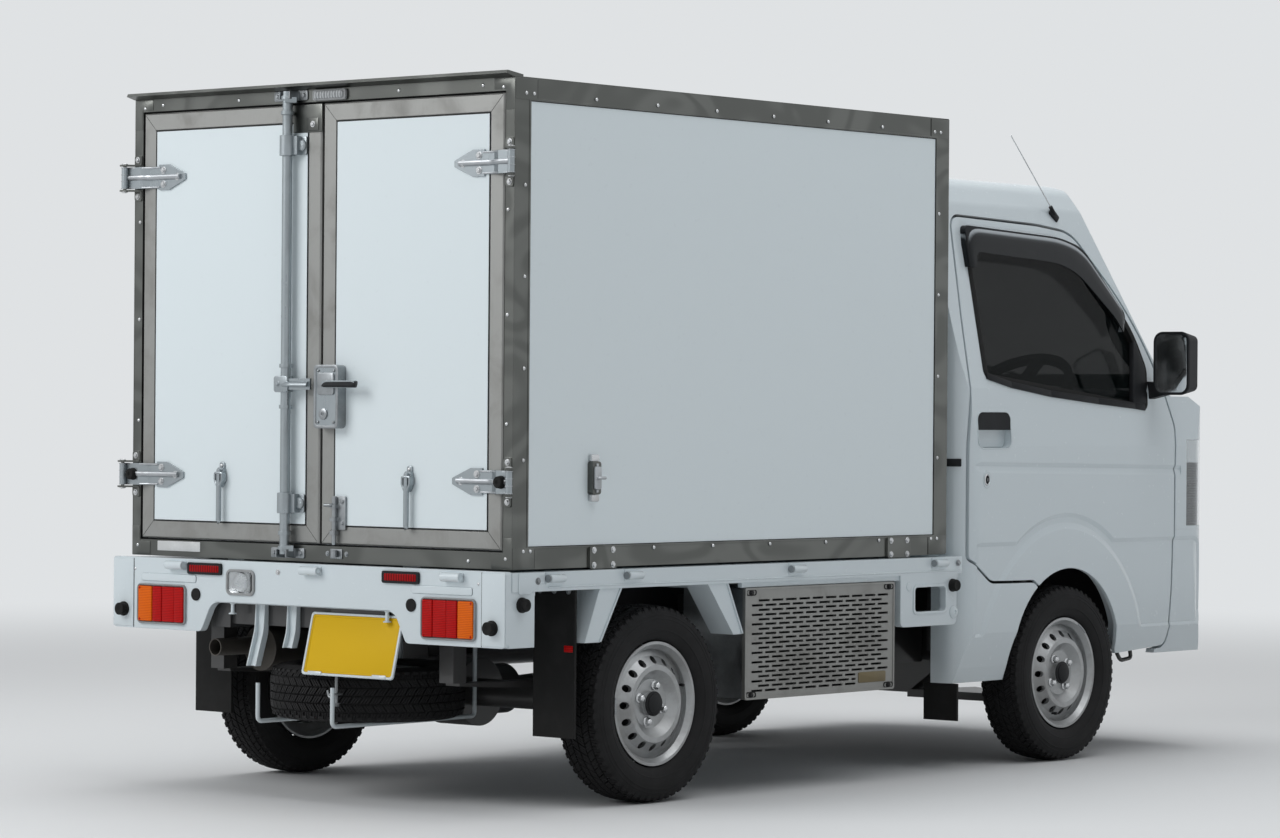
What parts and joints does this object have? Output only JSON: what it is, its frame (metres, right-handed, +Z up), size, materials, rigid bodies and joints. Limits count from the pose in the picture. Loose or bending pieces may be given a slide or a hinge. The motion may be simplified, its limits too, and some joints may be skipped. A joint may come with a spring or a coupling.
{
  "type": "kei truck with an insulated box body",
  "caption": "Small cab-over delivery truck with a cooled insulated box body, hinged rear doors and cab doors, steered front wheels and a spare wheel under the tail.",
  "frame": {"origin": "on the ground, under the middle of the overall length and width", "axes": "+X forward, +Y to the truck's left, +Z up"},
  "size_m": [3.422, 1.786, 1.9149],
  "materials": {
    "white_paint": "gloss white paint",
    "white_panel": "white reinforced plastic skin",
    "stainless_trim": "polished stainless sheet",
    "edge_aluminium": "satin",
    "galvanised": "zinc plated",
    "black_plastic": "satin black",
    "rubber": "matte",
    "tyre": "matte",
    "wheel_silver": "silver paint",
    "window_glass": "clear",
    "lamp_red": "clear red lens",
    "lamp_clear": "clear lens",
    "chassis_black": "satin black",
    "seat_cloth": "woven",
    "dash_grey": "grained",
    "plate_yellow": "blank yellow plate"
  },
  "bodies": {
    "chassis": {"bed_deck": "white_paint", "bed_rear_panel": "white_paint", "box_floor": "white_panel", "box_front": "white_panel", "box_door_frame": "stainless_trim", "box_roof": "white_panel", "box_side_left": "white_panel", "box_side_right": "white_panel", "box_trim": "stainless_trim", "cab_floor": "chassis_black", "cab_glass": "window_glass", "cab_shell": "white_paint", "chassis_frame": "chassis_black", "condenser_grille": "edge_aluminium", "condenser_housing": "galvanised", "dashboard": "dash_grey", "engine_block": "chassis_black", "evaporator": "white_panel", "exhaust": "galvanised", "front_bumper": "white_paint", "front_grille": "black_plastic", "front_panel": "white_paint", "front_suspension": "chassis_black", "fuel_tank": "chassis_black", "headlamps": "lamp_clear", "leaf_springs": "chassis_black", "rear_axle": "chassis_black", "rubber_parts": "rubber", "seats": "seat_cloth", "spare_carrier": "white_paint", "spare_wheel": "tyre", "tail_lamps": "lamp_red", "rear_plate": "plate_yellow", "tail_arms": "white_paint"},
    "wheel_rear_left": {"rim_rear_left": "wheel_silver", "tyre_rear_left": "tyre"},
    "wheel_rear_right": {"rim_rear_right": "wheel_silver", "tyre_rear_right": "tyre"},
    "steering_left": {"knuckle_left": "chassis_black"},
    "steering_right": {"knuckle_right": "chassis_black"},
    "wheel_front_left": {"rim_front_left": "wheel_silver", "tyre_front_left": "tyre"},
    "wheel_front_right": {"rim_front_right": "wheel_silver", "tyre_front_right": "tyre"},
    "door_cab_left": {"cab_door_left": "white_paint", "door_glass_left": "window_glass", "door_trim_left": "black_plastic"},
    "door_cab_right": {"cab_door_right": "white_paint", "door_glass_right": "window_glass", "door_trim_right": "black_plastic"},
    "door_box_left": {"box_door_left": "white_panel", "door_edge_left": "edge_aluminium", "door_gear_left": "galvanised"},
    "door_box_right": {"box_door_right": "white_panel", "door_edge_right": "edge_aluminium", "door_gear_right": "galvanised"}
  },
  "joints": [
    {"name": "wheel_rear_left_spin", "type": "hinge", "parent": "chassis", "child": "wheel_rear_left", "pos_m": [-1.0655, 0.645, 0.265], "axis": [0, 1, 0], "continuous": true},
    {"name": "wheel_rear_right_spin", "type": "hinge", "parent": "chassis", "child": "wheel_rear_right", "pos_m": [-1.0655, -0.645, 0.265], "axis": [0, 1, 0], "continuous": true},
    {"name": "steer_left", "type": "hinge", "parent": "chassis", "child": "steering_left", "pos_m": [0.8395, 0.548, 0.265], "axis": [0, 0, 1], "range_deg": [-30, 30]},
    {"name": "steer_right", "type": "hinge", "parent": "chassis", "child": "steering_right", "pos_m": [0.8395, -0.548, 0.265], "axis": [0, 0, 1], "range_deg": [-30, 30]},
    {"name": "wheel_front_left_spin", "type": "hinge", "parent": "steering_left", "child": "wheel_front_left", "pos_m": [0.8395, 0.6525, 0.265], "axis": [0, 1, 0], "continuous": true},
    {"name": "wheel_front_right_spin", "type": "hinge", "parent": "steering_right", "child": "wheel_front_right", "pos_m": [0.8395, -0.6525, 0.265], "axis": [0, 1, 0], "continuous": true},
    {"name": "cab_door_left_swing", "type": "hinge", "parent": "chassis", "child": "door_cab_left", "pos_m": [1.3445, 0.718, 0.825], "axis": [0, 0, -1], "range_deg": [0, 68]},
    {"name": "cab_door_right_swing", "type": "hinge", "parent": "chassis", "child": "door_cab_right", "pos_m": [1.3445, -0.718, 0.825], "axis": [0, 0, 1], "range_deg": [0, 68]},
    {"name": "box_door_left_swing", "type": "hinge", "parent": "chassis", "child": "door_box_left", "pos_m": [-1.6775, 0.724, 1.27], "axis": [0, 0, -1], "range_deg": [0, 255]},
    {"name": "box_door_right_swing", "type": "hinge", "parent": "chassis", "child": "door_box_right", "pos_m": [-1.6775, -0.724, 1.27], "axis": [0, 0, 1], "range_deg": [0, 255]}
  ],
  "couplings": [
    {"joint": "steer_right", "follows": "steer_left", "ratio": 1}
  ]
}
